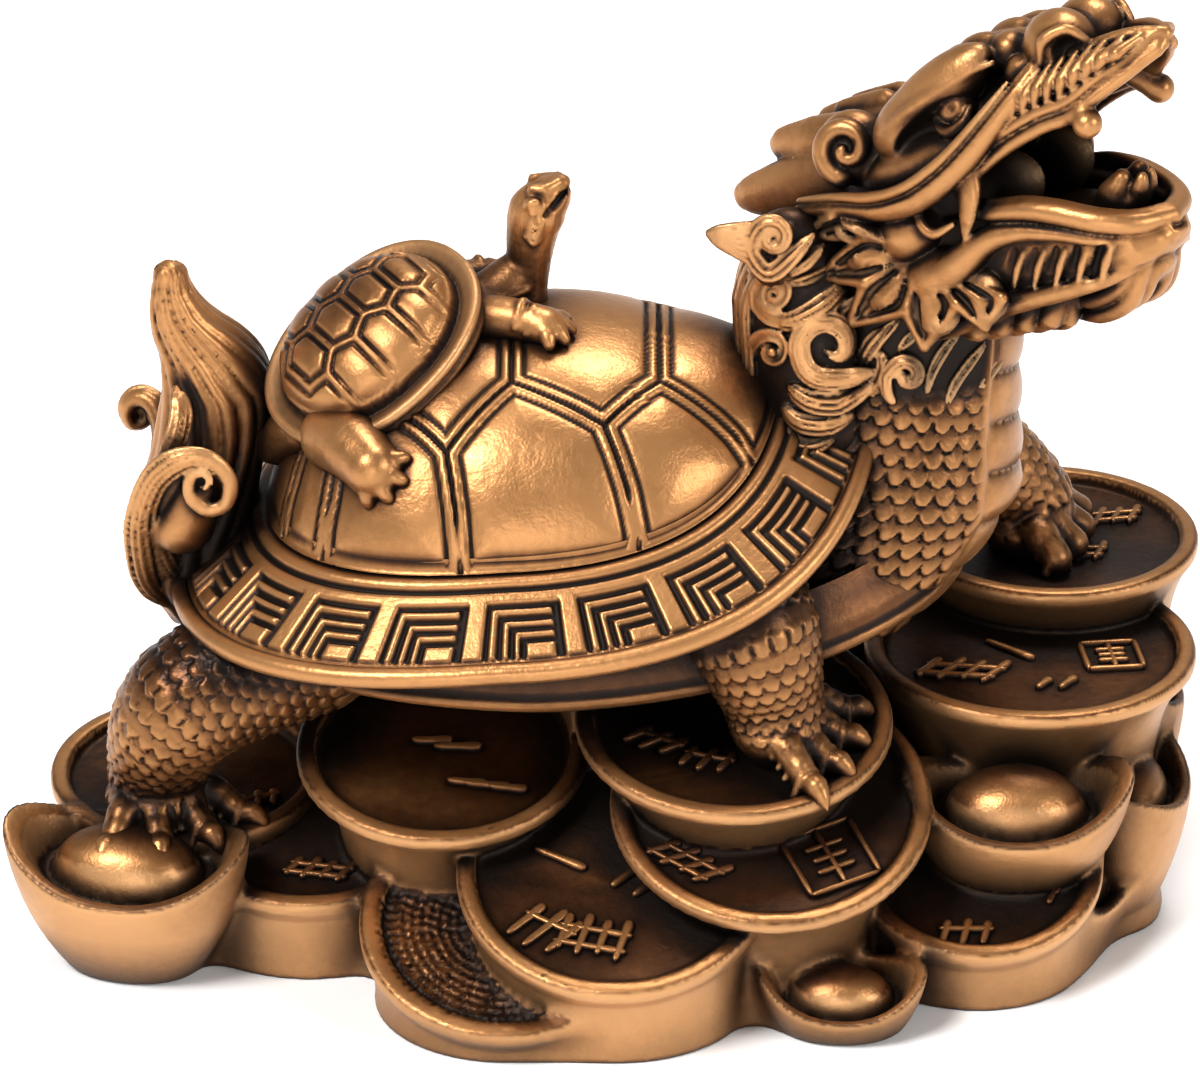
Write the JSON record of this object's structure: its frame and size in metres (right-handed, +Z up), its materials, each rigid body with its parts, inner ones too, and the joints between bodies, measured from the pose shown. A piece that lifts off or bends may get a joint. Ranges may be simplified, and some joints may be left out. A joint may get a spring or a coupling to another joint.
{
  "type": "dragon turtle figure",
  "caption": "Cast figure of a turtle with a dragon's head and a flame tail, carrying a young turtle and standing on a bed of coins and boat-shaped ingots.",
  "frame": {"origin": "middle of the bed's flat underside, on the surface the figure stands on", "axes": "+X forward, towards the dragon's head; +Y to the turtle's left; +Z up"},
  "size_m": [0.1512, 0.0969, 0.1244],
  "materials": {
    "antique_bronze": "cast resin with a satin antique bronze coat, rubbed golden on the high parts and near black in the grooves"
  },
  "bodies": {
    "root": {"dragon_turtle": "antique_bronze"}
  },
  "joints": []
}
